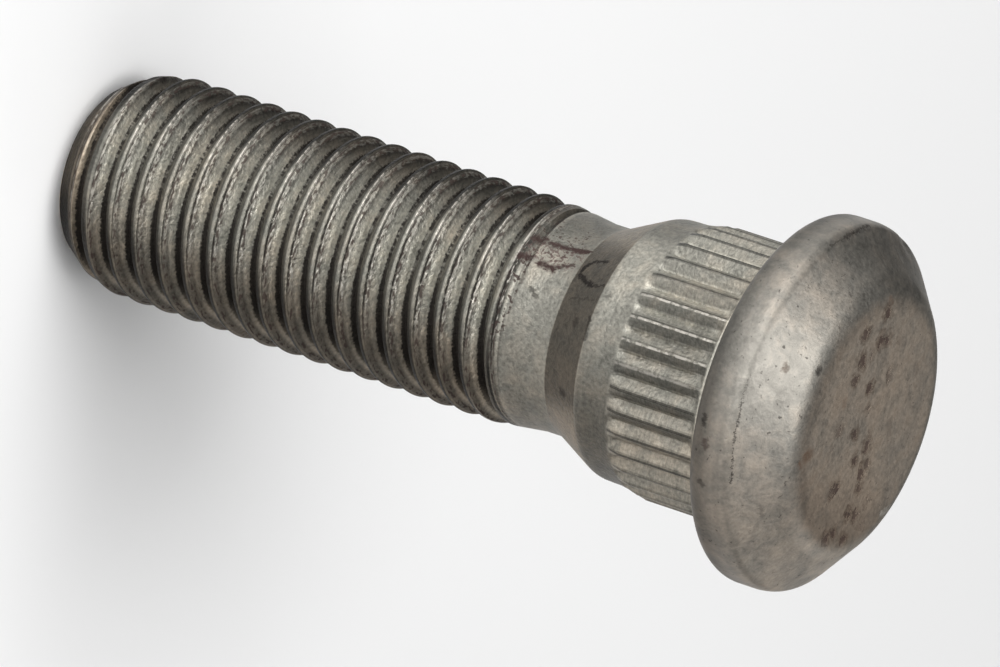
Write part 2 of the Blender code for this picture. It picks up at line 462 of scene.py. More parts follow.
@dataclass
class WheelStud:
    """The whole stud as one closed surface.

    Args:
        name: the piece's name.
        thread: sizes of the thread.
        serrations: sizes of the serrations.
        body: outline above the thread.
        dents: knocks in the surface.
        unevenness: height of the forging's slow waves in millimetres.
        wave_scale: waves in a metre.
        merge: distance within which points become one, in millimetres.
        crease: angle in degrees past which an edge is drawn sharp.
    """

    name: str = "wheel_stud_fine"
    thread: ThreadForm = ThreadForm()
    serrations: SerrationForm = SerrationForm()
    body: BodyForm = BodyForm()
    dents: tuple[Dent, ...] = (Dent((-8.95, 1.95, 43.05), 0.75, 0.09),
                               Dent((-8.55, 0.7, 43.7), 0.6, 0.05))
    unevenness: float = 0.03
    wave_scale: float = 260.0
    merge: float = 0.001
    crease: float = 30.0

    def guide(self, name: str, points: list[Point]) -> bpy.types.Object:
        """Chain of points that a tree reads as an outline.

        Args:
            name: the guide's name.
            points: its (radius, height) points in millimetres.

        Returns:
            The guide object.
        """
        mesh = bpy.data.meshes.new(name)
        mesh.from_pydata([(radius * MM, 0.0, height * MM) for radius, height in points],
                         [(index, index + 1) for index in range(len(points) - 1)], [])
        item = bpy.data.objects.new(name, mesh)
        bpy.context.scene.collection.objects.link(item)
        return item

    @staticmethod
    def wound(sheet: Sheet, guide: Wire, columns: Wire, steps: Wire) -> tuple[Wire, Wire, Wire]:
        """Grid whose rows follow the points of a guide, and where each grid point belongs.

        Args:
            sheet: the tree.
            guide: geometry of the guide.
            columns: steps of a whole turn.
            steps: steps of the grid.

        Returns:
            The grid, the column number, and the guide's own point.
        """
        rows = sheet.add("GeometryNodeAttributeDomainSize", {"component": "MESH"},
                         {"Geometry": guide}, "Point Count")
        grid = sheet.add("GeometryNodeMeshGrid", {},
                         {"Size X": 1.0, "Size Y": 1.0, "Vertices X": steps + 1,
                          "Vertices Y": rows})
        index = sheet.add("GeometryNodeInputIndex")
        column = ((index + 0.5) / rows).floor()
        row = index - column * rows
        place = sheet.add("GeometryNodeInputPosition")
        point = sheet.add("GeometryNodeSampleIndex", {"data_type": "FLOAT_VECTOR"},
                          {"Geometry": guide, "Value": place, "Index": row})
        return grid, column, point

    @staticmethod
    def placed(sheet: Sheet, grid: Wire, angle: Wire, radius: Wire, height: Wire) -> Wire:
        """Move the grid's points to their angle, radius and height."""
        return sheet.add("GeometryNodeSetPosition", {}, {
            "Geometry": grid,
            "Position": sheet.vector(radius * angle.cos(), radius * angle.sin(), height)})

    @staticmethod
    def new_tree(name: str, sockets: dict[str, str],
                 numbers: tuple[str, ...]) -> tuple[Sheet, dict[str, Wire]]:
        """Empty Geometry Nodes tree with named inputs and one geometry output.

        Args:
            name: the tree's name.
            sockets: type of each named input.
            numbers: names of the inputs that are plain numbers.

        Returns:
            The sheet, and the wires of its inputs.
        """
        tree = bpy.data.node_groups.new(name, "GeometryNodeTree")
        kinds = sockets | dict.fromkeys(numbers, "Float")
        for label, kind in kinds.items():
            tree.interface.new_socket(name=label, in_out="INPUT", socket_type="NodeSocket" + kind)
        tree.interface.new_socket(name="Geometry", in_out="OUTPUT",
                                  socket_type="NodeSocketGeometry")
        sheet = Sheet(tree)
        entry = tree.nodes.new("NodeGroupInput")
        return sheet, {label: Wire(sheet, entry.outputs[label]) for label in kinds}

    @staticmethod
    def nested(sheet: Sheet, tree: bpy.types.NodeTree, given: dict[str, Wire]) -> Wire:
        """Add a tree as one node, which takes its inputs by name from the given wires."""
        names = [item.name for item in tree.interface.items_tree if item.in_out == "INPUT"]
        return sheet.add("GeometryNodeGroup", {"node_tree": tree},
                         {name: given[name] for name in names})

    @staticmethod
    def finish_tree(sheet: Sheet, geometry: Wire) -> bpy.types.NodeTree:
        """Send the geometry to the tree's output and return the tree."""
        exit_node = sheet.tree.nodes.new("NodeGroupOutput")
        sheet.tree.links.new(geometry.socket, exit_node.inputs[0])
        return sheet.tree

    def thread_tree(self) -> bpy.types.NodeTree:
        """Tree that winds the outline of one turn up the helix and trims it to the shank.

        Returns:
            The tree.
        """
        form = self.thread
        sheet, given = self.new_tree("wound_thread", {
            "Outline": "Geometry", "Thread Columns": "Int", "Turns": "Int"}, THREAD_NUMBERS)
        columns, pitch, depth = given["Thread Columns"], given["Pitch"], given["Depth"]
        grid, column, point = self.wound(sheet, given["Outline"], columns,
                                         columns * given["Turns"])
        rise, _, along = sheet.parts(point)
        share, level = along / MM, rise / MM
        root = given["First Root"] + pitch * column / columns
        raw_height = root + pitch * share
        height = raw_height.most(0.0).least(given["Join Height"])
        upper = share.step(0.555, 0.5551, soft=False)
        nearest = root + pitch * upper
        lift = (nearest - given["Fade Start"]).most(0.0) / given["Fade Length"]
        lift = lift * depth * form.lift_gain
        loss = (form.neck_radius - form.diameter / 2) * MM
        taper = height.step(form.taper_start * MM, form.taper_end * MM, 0.0, loss, soft=False)
        groove = given["Thread Radius"] + taper - depth * (1 - level) + lift
        shank = taper + form.tip_face_radius * MM
        for start, end, growth in form.tip_steps:
            shank = shank + height.step(start * MM, end * MM, 0.0, growth * MM, soft=False)
        radius = shank.least_soft(groove, form.chamfer_blend * MM)
        angle = (column % columns) * math.tau / columns
        return self.finish_tree(sheet, self.placed(sheet, grid, angle, radius, height))

    def body_tree(self) -> bpy.types.NodeTree:
        """Tree that turns an outline about the axis and sinks the serrations into it.

        Returns:
            The tree.
        """
        form = self.serrations
        sheet, given = self.new_tree("turned_body", {
            "Outline": "Geometry", "Columns": "Int", "Thread Columns": "Int",
            "Serrations": "Int"}, BODY_NUMBERS)
        columns = given["Columns"]
        grid, column, point = self.wound(sheet, given["Outline"], columns, columns)
        radius, _, height = sheet.parts(point)
        ratio = columns / given["Thread Columns"]
        snapped = (column / ratio + 0.5).floor() * ratio
        is_ring = height < given["Join Height"] + 0.001 * MM
        column = column + (snapped - column) * is_ring
        even = (column % columns) * math.tau / columns
        spacing = math.tau / given["Serrations"]
        side = (even / spacing + 0.5) % 1.0 - 0.5
        drawn = side * (abs(side) * form.crowding[0] + form.crowding[1])
        angle = even + ((drawn - side) * spacing + given["Phase"]) * (1 - is_ring)
        away = (0.5 - abs(drawn)) * spacing * given["Serration Radius"]
        opening = (spacing * given["Serration Radius"] - given["Crest Width"]) * 0.5
        root = given["Serration Radius"] - given["Groove Depth"]
        slope = given["Groove Depth"] / opening
        below = (given["Groove Bottom"] + given["Bevel"] - height).most(0.0) / given["Bevel"]
        above = (height - given["Groove Top"] + given["Top Bevel"]).most(0.0) / given["Top Bevel"]
        ends = below.most(above * above) * given["Groove Depth"]
        groove = root + (away * slope).most(ends)
        far = (height < given["Groove Bottom"]) + (height - given["Groove Top"]).step(
            0.0, 0.001 * MM, soft=False)
        groove = groove + far * form.clearance * MM
        sunk = radius.least(groove)
        return self.finish_tree(sheet, self.placed(sheet, grid, angle, sunk, height))

    def surface_tree(self) -> bpy.types.NodeTree:
        """Tree that joins the wound thread, the turned body and the flat end, and knocks them.

        Returns:
            The tree.
        """
        sheet, given = self.new_tree("stud_surface", {
            "Thread Outline": "Object", "Body Outline": "Object", "End Outline": "Object",
            "Thread Columns": "Int", "Body Columns": "Int", "Turns": "Int", "Serrations": "Int",
            "Material": "Material"},
            (*THREAD_NUMBERS, *BODY_NUMBERS, "Merge Distance", "Unevenness"))
        shapes = {label: sheet.add("GeometryNodeObjectInfo", {"transform_space": "ORIGINAL"},
                                   {"Object": given[label]}, "Geometry")
                  for label in ("Thread Outline", "Body Outline", "End Outline")}
        body_tree = self.body_tree()
        thread = self.nested(sheet, self.thread_tree(), given | {
            "Outline": shapes["Thread Outline"]})
        body = self.nested(sheet, body_tree, given | {
            "Outline": shapes["Body Outline"], "Columns": given["Body Columns"]})
        end = self.nested(sheet, body_tree, given | {
            "Outline": shapes["End Outline"], "Columns": given["Thread Columns"]})
        join = sheet.add("GeometryNodeJoinGeometry")
        for part in (end, body, thread):
            sheet.tree.links.new(part.socket, join.socket.node.inputs[0])
        whole = sheet.add("GeometryNodeMergeByDistance", {},
                          {"Geometry": join, "Distance": given["Merge Distance"]})
        place = sheet.add("GeometryNodeInputPosition")
        normal = sheet.add("GeometryNodeInputNormal")
        _, _, height = sheet.parts(place)
        waves = sheet.noise(place, self.wave_scale, detail=1.5) - 0.5
        on_head = height.step(self.body.bearing_height * MM, (self.body.bearing_height + 1) * MM)
        on_end = height.step(0.0, 1 * MM)
        push = waves * given["Unevenness"] * (on_head * 0.75 + 0.25) * on_end
        for dent in self.dents:
            centre = tuple(value * MM for value in dent.place)
            near = sheet.about("DISTANCE", place, centre).step(dent.radius * MM, 0.0)
            push = push - near * dent.depth * MM
        whole = sheet.add("GeometryNodeSetPosition", {}, {
            "Geometry": whole, "Offset": sheet.about("SCALE", normal, push)})
        whole = sheet.add("GeometryNodeSetShadeSmooth", {}, {"Geometry": whole})
        whole = sheet.add("GeometryNodeRealizeInstances", {}, {"Geometry": whole})
        whole = sheet.add("GeometryNodeSetMaterial", {},
                          {"Geometry": whole, "Material": given["Material"]})
        return self.finish_tree(sheet, whole)

    def build(self, material: bpy.types.Material) -> bpy.types.Object:
        """Grow the surface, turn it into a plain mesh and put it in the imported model's place.

        Args:
            material: finish of the whole stud.

        Returns:
            The stud.
        """
        form, cuts = self.thread, self.serrations
        outline = [(level, share) for share, level in form.outline]
        end = [(form.tip_face_radius * share, 0.0) for share in (0.0, 0.2, 0.4, 0.6, 0.8, 1.0)]
        guides = [self.guide("thread_outline", outline),
                  self.guide("body_outline", self.body.outline()),
                  self.guide("end_outline", end)]
        first_root = form.start_height - 2 * form.pitch
        turns = math.ceil((form.join_height - first_root) / form.pitch)
        lengths = {
            "Thread Radius": form.diameter / 2, "Pitch": form.pitch, "Depth": form.depth,
            "First Root": first_root, "Fade Start": form.fade_start,
            "Fade Length": form.fade_length, "Join Height": form.join_height,
            "Groove Depth": cuts.depth, "Crest Width": cuts.crest_width,
            "Serration Radius": cuts.crest_radius, "Groove Bottom": cuts.bottom,
            "Groove Top": cuts.top, "Bevel": cuts.bevel, "Top Bevel": cuts.top_bevel,
            "Merge Distance": self.merge, "Unevenness": self.unevenness}
        values = {
            "Thread Outline": guides[0], "Body Outline": guides[1], "End Outline": guides[2],
            "Thread Columns": form.columns, "Body Columns": cuts.columns, "Turns": turns,
            "Serrations": cuts.count, "Phase": math.radians(cuts.phase), "Material": material,
            **{label: length * MM for label, length in lengths.items()}}
        item = bpy.data.objects.new(self.name, bpy.data.meshes.new(self.name))
        bpy.context.scene.collection.objects.link(item)
        tree = self.surface_tree()
        grow = item.modifiers.new("surface", "NODES")
        grow.node_group = tree
        for socket in tree.interface.items_tree:
            if socket.item_type == "SOCKET" and socket.in_out == "INPUT":
                grow[socket.identifier] = values[socket.name]
        graph = bpy.context.evaluated_depsgraph_get()
        mesh = bpy.data.meshes.new_from_object(item.evaluated_get(graph))
        mesh.name = self.name
        item.modifiers.clear()
        item.data = mesh
        mesh.set_sharp_from_angle(angle=math.radians(self.crease))
        for guide in guides:
            bpy.data.objects.remove(guide, do_unlink=True)
        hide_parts("wheel_stud")
        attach(item, "root")
        return item


class Tone(Enum):
    """Colour that a mark leaves."""

    # Soot, and the painted shade of the thread's roots.
    SOOT_AND_SHADE = (0.016, 0.013, 0.011, 1.0)
    RUST = (0.085, 0.05, 0.03, 1.0)
    STAIN = (0.045, 0.027, 0.024, 1.0)
    MAUVE = (0.09, 0.06, 0.055, 1.0)
    BRIGHT = (0.5, 0.47, 0.42, 1.0)


@dataclass(frozen=True)
class Stroke:
    """A mark along a line of the surface, in millimetres."""

    start: Place
    end: Place
    width: float
    strength: float = 1.0


def marks(*rows: tuple[Place, Place, float, float]) -> tuple[Stroke, ...]:
    """Marks from rows of start, end, width and strength."""
    return tuple(Stroke(*row) for row in rows)


MARKS = {
    Tone.SOOT_AND_SHADE: marks(
        ((-4.5, -2.6, 1.15), (-5.35, -1.7, 2.3), 0.33, 0.85),
        ((-2.5, -5.02, 30.0), (-2.9, -4.8, 30.05), 0.1, 1.0),
        ((-2.9, -4.8, 30.05), (-3.26, -4.8, 30.45), 0.09, 1.0),
        ((-3.26, -4.8, 30.45), (-3.5, -5.25, 31.4), 0.08, 0.9),
        ((-2.42, -5.12, 30.1), (-2.11, -5.8, 31.2), 0.12, 1.0),
        ((-2.11, -5.8, 31.2), (-2.3, -6.25, 32.1), 0.07, 0.7),
        ((-1.12, -5.39, 27.8), (-0.78, -5.38, 28.35), 0.09, 0.55),
        ((-1.22, -5.56, 30.2), (-1.51, -6.45, 32.0), 0.05, 0.45),
        ((-0.55, -6.62, 32.15), (0.5, -6.71, 32.3), 0.1, 0.6),
        ((-0.1, -6.18, 31.2), (-0.2, -6.2, 31.25), 0.18, 0.55),
        ((3.36, -5.3, 31.4), (3.3, -5.25, 31.2), 0.16, 0.6),
        ((-1.81, -6.53, 32.6), (-1.9, -6.5, 32.75), 0.1, 0.45),
        ((-9.18, -1.95, 42.72), (-8.27, -4.25, 42.88), 0.1, 0.75),
        ((-8.27, -4.25, 42.88), (-7.5, -5.5, 42.88), 0.05, 0.6),
        ((-6.01, -5.04, 44.4), (-5.47, -4.95, 44.78), 0.12, 0.85),
        ((-5.47, -4.95, 44.78), (-6.0, -4.1, 44.83), 0.09, 0.6),
        ((-0.43, -9.32, 42.84), (1.03, -9.25, 42.86), 0.03, 0.4),
        ((1.03, -9.25, 42.86), (2.98, -8.8, 42.9), 0.05, 0.6),
        ((2.98, -8.8, 42.9), (4.9, -7.8, 42.95), 0.05, 0.7),
        ((2.2, -9.25, 41.2), (2.6, -9.13, 41.2), 0.12, 0.6),
        ((5.33, -7.86, 41.38), (5.4, -7.8, 41.5), 0.14, 0.5),
        ((5.6, -5.9, 44.04), (6.0, -5.5, 44.04), 0.14, 0.4),
        ((-1.75, -6.5, 45.02), (-1.55, -6.6, 45.02), 0.15, 0.7),
        ((-0.3, 2.3, 45.1), (0.1, 2.6, 45.1), 0.25, 0.4),
        ((-3.4, 3.1, 45.1), (-3.1, 3.4, 45.1), 0.25, 0.35),
        ((-4.44, -6.21, 44.57), (-4.3, -6.5, 44.45), 0.12, 0.45)),
    Tone.RUST: marks(
        ((2.6, -5.2, 45.1), (2.4, -4.9, 45.1), 0.3, 0.7),
        ((2.98, -5.6, 45.1), (3.1, -5.4, 45.1), 0.14, 0.6),
        ((-0.6, -3.1, 45.1), (-0.4, -3.0, 45.1), 0.18, 0.5),
        ((-1.4, -8.1, 44.0), (-1.2, -8.1, 44.0), 0.16, 0.5),
        ((-6.1, -1.8, 45.1), (-6.0, -1.6, 45.1), 0.15, 0.5)),
    Tone.STAIN: marks(
        ((-3.48, -4.32, 27.6), (-3.62, -4.05, 29.6), 0.14, 1.0),
        ((-3.5, -4.38, 26.85), (-3.56, -4.3, 27.15), 0.22, 0.9),
        ((-2.41, -5.1, 26.6), (-2.45, -4.95, 27.0), 0.16, 0.9),
        ((-2.36, -4.95, 27.7), (-2.31, -4.9, 28.5), 0.15, 1.0),
        ((-2.46, -4.85, 28.6), (-2.8, -4.66, 29.3), 0.1, 0.9),
        ((-1.2, -5.4, 27.3), (-3.1, -4.5, 27.05), 0.07, 0.5),
        ((3.37, -8.88, 41.46), (3.6, -8.8, 41.5), 0.14, 0.6)),
    Tone.MAUVE: marks(
        ((-2.95, -4.62, 27.2), (-3.0, -4.5, 29.2), 0.5, 0.8)),
    Tone.BRIGHT: marks(
        ((4.07, 4.68, 45.1), (3.7, 5.4, 45.07), 0.16, 0.5)),
}


@dataclass(frozen=True)
class Zones:
    """Soft edges of the zones of the finish: where each begins and where it is complete.

    All are heights in millimetres, but for the face, which also has an edge across the axis.
    """

    thread: Span = (27.2, 26.9)
    tip: Span = (2.1, 1.3)
    neck: tuple[Span, Span] = ((27.1, 27.4), (29.9, 29.6))
    ramp: Place = (31.0, 1.18, 0.1)
    collar: tuple[Span, Span] = ((32.1, 32.4), (34.4, 34.1))
    serrations: Span = (34.25, 34.4)
    head: Span = (40.2, 40.5)
    rim: tuple[Span, Span] = ((40.3, 40.5), (42.95, 42.7))
    cone: Span = (42.7, 42.95)
    face: Span = (44.6, 45.0)
    face_radius: Span = (6.8, 6.0)


@dataclass(frozen=True)
class Skin:
    """What the finish reads at a point of the surface: its place, the noises and the zones."""

    place: Wire
    x: Wire
    y: Wire
    z: Wire
    radius: Wire
    angle: Wire
    grain: Wire
    mottle: Wire
    broad: Wire
    ragged: Wire
    chips: Wire
    hatch: Wire
    on_thread: Wire
    on_tip: Wire
    on_ramp: Wire
    on_head: Wire
    on_face: Wire

    @classmethod
    def read(cls, sheet: Sheet, zones: Zones) -> Skin:
        """Add the nodes that find the place, in millimetres, and what holds there.

        Args:
            sheet: the material's sheet.
            zones: edges of the zones.

        Returns:
            The wires.
        """
        metres = sheet.add("ShaderNodeTexCoord", {}, {}, "Object")
        place = sheet.about("SCALE", metres, 1 / MM)
        x, y, z = sheet.parts(place)
        radius = sheet.about("LENGTH", sheet.vector(x, y, 0.0))
        return cls(
            place, x, y, z, radius,
            angle=sheet.add("ShaderNodeMath", {"operation": "ARCTAN2"}, {0: y, 1: x}),
            grain=sheet.noise(place, 5.0, 2.0, 0.65),
            mottle=sheet.noise(place, 0.95, 3.0, 0.62, 0.4),
            broad=sheet.noise(place, 0.24, 1.5),
            ragged=sheet.noise(sheet.vector(x * 8, y * 8, z * 1.6), 1.0, 2.0, 0.6),
            chips=sheet.noise(place, 3.2, 2.0, 0.6),
            hatch=sheet.noise(sheet.vector(x * 2.6, y * 2.6, z * 14), 1.0, 1.0, 0.5),
            on_thread=z.step(*zones.thread), on_tip=z.step(*zones.tip),
            on_ramp=z.band(*zones.ramp), on_head=z.step(*zones.head),
            on_face=radius.step(*zones.face_radius) * z.step(*zones.face))


@dataclass(frozen=True)
class ThreadWearAndShade:
    """Masks of the wear on the thread, and of its painted shade and glints."""

    clean: Wire
    root: Wire
    fold: Wire
    nicks: Wire
    fleck_glints: Wire
    rubbed_and_glint: Wire
    last: Wire


@dataclass(frozen=True)
class PhosphatedSteel:
    """Dull grey coating on forged steel, sooty in the thread, with painted shade and light by
    side and a browner tint painted into its shaded side.

    Args:
        steel: tint of the plain coating.
        brown: tint of the coating where it has gone brown, and of the shade painted into its
            darker side.
        rosy: what the head's tint is multiplied by.
        tone: how light the coating is at level one.
        roughness: roughness of the coating.
        metallic: how metallic it is.
        specular: strength of the gloss on what isn't metal.
        lit: direction, across the axis, of the side of the thread that is painted lighter.
        pit_line: line across the face along which rusty pits are strewn.
        pits_per_mm: how close the pits may lie.
        shake: how far the single marks are shaken, in millimetres.
        zones: edges of the zones.
        thread: sizes of the thread.
        serrations: sizes of the serrations.
    """

    steel: Place = (1.03, 1.0, 0.87)
    brown: Place = (1.2, 1.0, 0.77)
    rosy: Place = (1.025, 1.0, 1.02)
    tone: float = 0.25
    roughness: float = 0.5
    metallic: float = 0.8
    specular: float = 0.3
    lit: Point = (-0.208, -0.978)
    pit_line: Stroke = Stroke((-4.6, -2.1, 45.1), (5.6, 0.7, 45.1), 1.7)
    pits_per_mm: float = 0.8
    shake: float = 0.45
    zones: Zones = Zones()
    thread: ThreadForm = ThreadForm()
    serrations: SerrationForm = SerrationForm()

    @staticmethod
    def near(sheet: Sheet, place: Wire, stroke: Stroke) -> Wire:
        """Mask of one stroke.

        Args:
            sheet: the material's sheet.
            place: surface point in millimetres.
            stroke: the mark.

        Returns:
            Its strength on the line, easing to zero outside its width.
        """
        start, span = Vector(stroke.start), Vector(stroke.end) - Vector(stroke.start)
        offset = sheet.about("SUBTRACT", place, tuple(start))
        share = sheet.about("DOT_PRODUCT", offset, tuple(span / span.length_squared))
        foot = sheet.about("SCALE", tuple(span), share.most(0.0).least(1.0))
        gap = sheet.about("LENGTH", sheet.about("SUBTRACT", offset, foot))
        return gap.step(stroke.width * 1.9, stroke.width * 0.5) * stroke.strength

    def strokes(self, sheet: Sheet, at: Skin, colour: Wire) -> tuple[Wire, Wire]:
        """Lay the single marks over a colour, tone by tone.

        Args:
            sheet: the material's sheet.
            at: the point of the surface.
            colour: colour under them.

        Returns:
            The marked colour, and the mask of all dark marks.
        """
        shaken = sheet.about("SUBTRACT", sheet.vector(at.chips, at.grain, at.ragged), (0.5,) * 3)
        place = sheet.about("ADD", at.place, sheet.about("SCALE", shaken, self.shake))
        dark = []
        for tone, strokes in MARKS.items():
            breaks = at.grain.step(0.48, 0.58) if tone is Tone.MAUVE else at.grain * 1.5 + 0.3
            layer = reduce(Wire.most, [self.near(sheet, place, each) for each in strokes])
            layer = layer * breaks
            colour = sheet.mix(layer.least(1.0), colour, tone.value)
            if tone in (Tone.SOOT_AND_SHADE, Tone.RUST, Tone.STAIN):
                dark.append(layer)
        return colour, reduce(Wire.most, dark)

    def coating(self, at: Skin) -> Wire:
        """How light the coating is, zone by zone, with painted light and shade by side in each
        zone.

        Args:
            at: the point of the surface.

        Returns:
            Its level, about one where it is plain.
        """
        x, z, zones = at.x, at.z, self.zones
        patches = (at.mottle - 0.5) * (at.on_head * 0.3 + 0.8) + (at.broad - 0.5) * 0.3
        level = patches + (at.grain - 0.5) * (1 - at.on_head * 0.5) * 1.35 + 0.97
        # The tip darker, and painted shade over the highlight on the chamfer's edge near the end.
        level = level.toned(at.on_tip, -0.32).toned(z.band(1.2, 0.35, 0.2), -0.3)
        # Painted shade on the neck, darker toward both sides, most on the upper side.
        neck = x.step(-2.4, -4.9, 0.95, 0.62) - x.step(2.5, 4.6) * 0.2
        level = level * neck.within(z.between(*zones.neck))
        # Painted shade across the ramp, strongest at the front and fading toward the sides.
        level = level.toned(abs(x + 0.2).step(4.9, 3.6, 0.4, 1.0) * at.on_ramp, -0.7)
        # Painted light on the collar's upper side and painted shade on its lower side, darker
        # again toward the very top.
        collar = x.step(-3.0, 4.2, 1.25, 0.45, soft=False) - x.step(-4.4, -6.0) * 0.6
        level = level * collar.within(z.between(*zones.collar))
        # The rim darker toward its rear edge, less so toward the sides; painted light by the
        # shoulder at the front and lower side, and painted shade on the lower side and at the
        # very top.
        rear = abs(x - 1.0).step(2.0, 4.5, 0.37, 0.52)
        rim = rear + (0.95 - rear) * z.step(41.0, 42.15)
        rim = rim + z.step(42.15, 42.7) * x.step(-1.5, 0.5) * 0.45
        rim = rim * x.step(2.0, 7.0, 1.0, 0.86) * x.step(-6.0, -8.0, 1.0, 0.8)
        level = level * rim.within(z.between(*zones.rim))
        # Painted shade on the shoulder's upper side, dimming its highlight.
        level = level.toned(z.band(42.75, 0.15, 0.12) * x.step(-1.5, -3.5), -0.18)
        # Painted shade on the cone toward the top, and painted light toward the lower side.
        cone = x.step(-5.2, -8.4, 0.97, 0.6) + x.step(3.0, 5.0) * 0.1 + x.step(5.2, 7.0) * 0.28
        level = level * cone.within(z.step(*zones.cone) * (1 - at.on_face))
        # The face painted lighter at the front and upper side and darker toward the lower side,
        # with darker mottled patches.
        face = x.step(2.5, 5.5, 1.16, 0.93) - at.mottle.step(0.5, 0.7) * 0.25
        level = level * face.within(at.on_face)
        # Painted shade in a ring along the face's edge, on the near side, over the highlight of
        # its rounding.
        ring = (at.radius - abs(x) * 0.12).band(5.95, 0.4, 0.6) * z.step(44.2, 44.5)
        return level.toned(ring * at.y.step(3.5, 1.0) * x.step(6.5, 4.0, 0.06, 0.24), -1)

    def thread_wear(self, at: Skin, level: Wire) -> tuple[Wire, ThreadWearAndShade]:
        """Sooty root with painted shade that widens it toward the sides, painted shade on the far
        flank, painted light on the foot of the near flank, and dotted fold.

        Args:
            at: the point of the surface.
            level: how light the coating is.

        Returns:
            The new level, and the masks of the wear, painted shade and glints.
        """
        x, z, chips, hatch, ragged, form = at.x, at.z, at.chips, at.hatch, at.ragged, self.thread
        share = ((z - form.start_height) / form.pitch - at.angle / math.tau) % 1.0
        # clean is one toward the lit front of the thread and falls to zero toward the sides,
        # where the thread is painted darker as shade.
        clean = (x * self.lit[0] + at.y * self.lit[1]) / at.radius
        clean = (clean * clean).step(0.35, 0.9)
        # Painted light on the foot of the near flank, where its own shade falls, and painted
        # shade on the far flank, least on the lit front.
        foot = share.band(0.86, 0.045, 0.08) * z.step(26.0, 26.5, 1.0, 0.3)
        far_flank_shade = share.band(0.27, 0.2, 0.05) * z.step(26.2, 25.6)
        thread = (clean * 0.5 + 0.5) * (foot * 1.75 + 0.85)
        thread = thread.toned(far_flank_shade, clean * 0.36 - 0.86)
        # Bands across the turn, painted by side: the crest lighter on the lit front and darker
        # off it, the far flank darker toward both sides, and the near flank lighter or darker by
        # side.
        high, upper, lower = x.step(-0.6, -2.3), x.step(-2.6, -3.8), x.step(0.6, 2.3)
        for middle, half, edge, amount in (
                (0.525, 0.035, 0.03, clean * 1.05 - 0.75),
                (0.77, 0.05, 0.04, x.band(-0.3, 0.7, 0.8) * 0.14),
                (0.28, 0.29, 0.03, (upper * -0.74).least(lower * -0.32)),
                (0.76, 0.1, 0.03, x.between((0.6, 2.6), (4.4, 3.5)) * 0.45),
                (0.59, 0.03, 0.03, x.step(0.5, 2.3) * 0.5),
                (0.8, 0.14, 0.03, x.step(-4.3, -5.0) * -0.3),
                (0.78, 0.04, 0.03, high * -0.3),
                (0.68, 0.02, 0.02, high * 0.6)):
            thread = thread.toned(share.band(middle, half, edge), amount)
        level = level * thread.within(at.on_thread)
        # The worn, mottled run-out band on the lit front, its lower part painted darker against
        # the crest's own highlight.
        last = z.band(26.85, 0.36, 0.1) * clean
        level = level.toned(last, z.step(26.75, 26.98) * 0.75 - 0.75 + (chips - 0.5) * 0.9)

        # The root's soot, its dark edge painted wider into shade toward the sides, and painted
        # lighter between beads on the lit front.
        edge = (share + (ragged - 0.5) * 0.1 - x.step(2.4, -0.6) * 0.05
                + abs(x).step(2.4, 4.8) * 0.045)
        root = edge.step(0.872, 0.902).most(share.step(0.055, 0.025)) * at.on_thread
        thin = share.band(0.985, 0.014, 0.02) * 0.7
        root = root * z.step(26.5, 25.95).most(x.step(-0.5, 1.0)).most(thin)
        beads = (ragged * 0.6 + chips * 0.4).step(0.4, 0.55)
        root = root.toned((1 - beads) * clean * x.step(1.0, -1.5), -0.7)
        bent = share + (chips - 0.5) * 0.04
        open_fold = z.step(2.0, 13.0, 0.45, 1.0) * x.step(-3.0, -0.4, 0.45, 1.0) * at.on_thread
        open_fold = open_fold * x.step(3.8, 2.0)
        # fleck_glints are painted glints in the fold's band on the front and upper side;
        # rubbed_and_glint is the worn crest, painted bright on the upper side.
        return level, ThreadWearAndShade(
            clean, root=root * x.step(5.2, 4.1, 0.4, 1.0), last=last,
            fold=bent.band(0.64, 0.018, 0.02) * chips.step(0.32, 0.45) * open_fold * 0.95,
            nicks=bent.band(0.68, 0.04, 0.03) * hatch.step(0.47, 0.4) * at.on_thread * 0.75,
            fleck_glints=(bent.band(0.695, 0.035, 0.03) * hatch.step(0.52, 0.6) * open_fold
                    * x.step(3.2, 1.6)),
            rubbed_and_glint=(share.band(0.6, 0.03, 0.03) * x.between((-1.0, -2.6), (-5.0, -4.2))
                    * chips.step(0.36, 0.6) * at.on_thread))

    def serration_wear_and_shade(self, at: Skin, level: Wire) -> tuple[Wire, Wire]:
        """Painted shade on one wall of the grooves, painted highlights on the other, and broken
        bright lines of worn crests.

        Args:
            at: the point of the surface.
            level: how light the coating is.

        Returns:
            The new level, and the mask of the worn crests, kept to the front and upper side as a
            painted highlight.
        """
        x, z, cuts = at.x, at.z, self.serrations
        phase = ((at.angle - math.radians(cuts.phase)) * cuts.count / math.tau) % 1.0
        on_cuts = z.between(self.zones.serrations, (cuts.top, cuts.top - 0.15))
        # Painted shade on one wall of each groove at the front, and painted highlights on the
        # other wall, strongest on the upper side.
        wall = phase.band(0.2, 0.16, 0.05) * x.between((-3.8, -1.2), (4.8, 3.0))
        bright = (phase.band(0.6, 0.13, 0.06)
                  * (x.step(-0.5, -2.5) * 0.55 - x.step(-3.5, -4.3) * 0.35)
                  + phase.band(0.7, 0.2, 0.06) * x.step(-4.8, -5.6) * 0.25
                  + phase.band(0.74, 0.16, 0.06) * x.step(2.5, 4.0) * 0.14)
        # Painted shade along each crest's lip, stronger toward the upper side, and along its
        # brink at the top.
        sides = x.step(0.0, -2.0, 0.75, 1.3) + x.step(-3.4, -4.6) * 0.5
        lip = phase.band(0.92, 0.03, 0.04) * (at.chips * 0.8 + 0.4) * sides
        crest = phase.band(1.0, 0.045, 0.03).most(phase.step(0.06, 0.035)) * on_cuts
        brink = phase.step(0.12, 0.07).most(phase.step(0.93, 0.96)) * x.step(-4.9, -5.4)
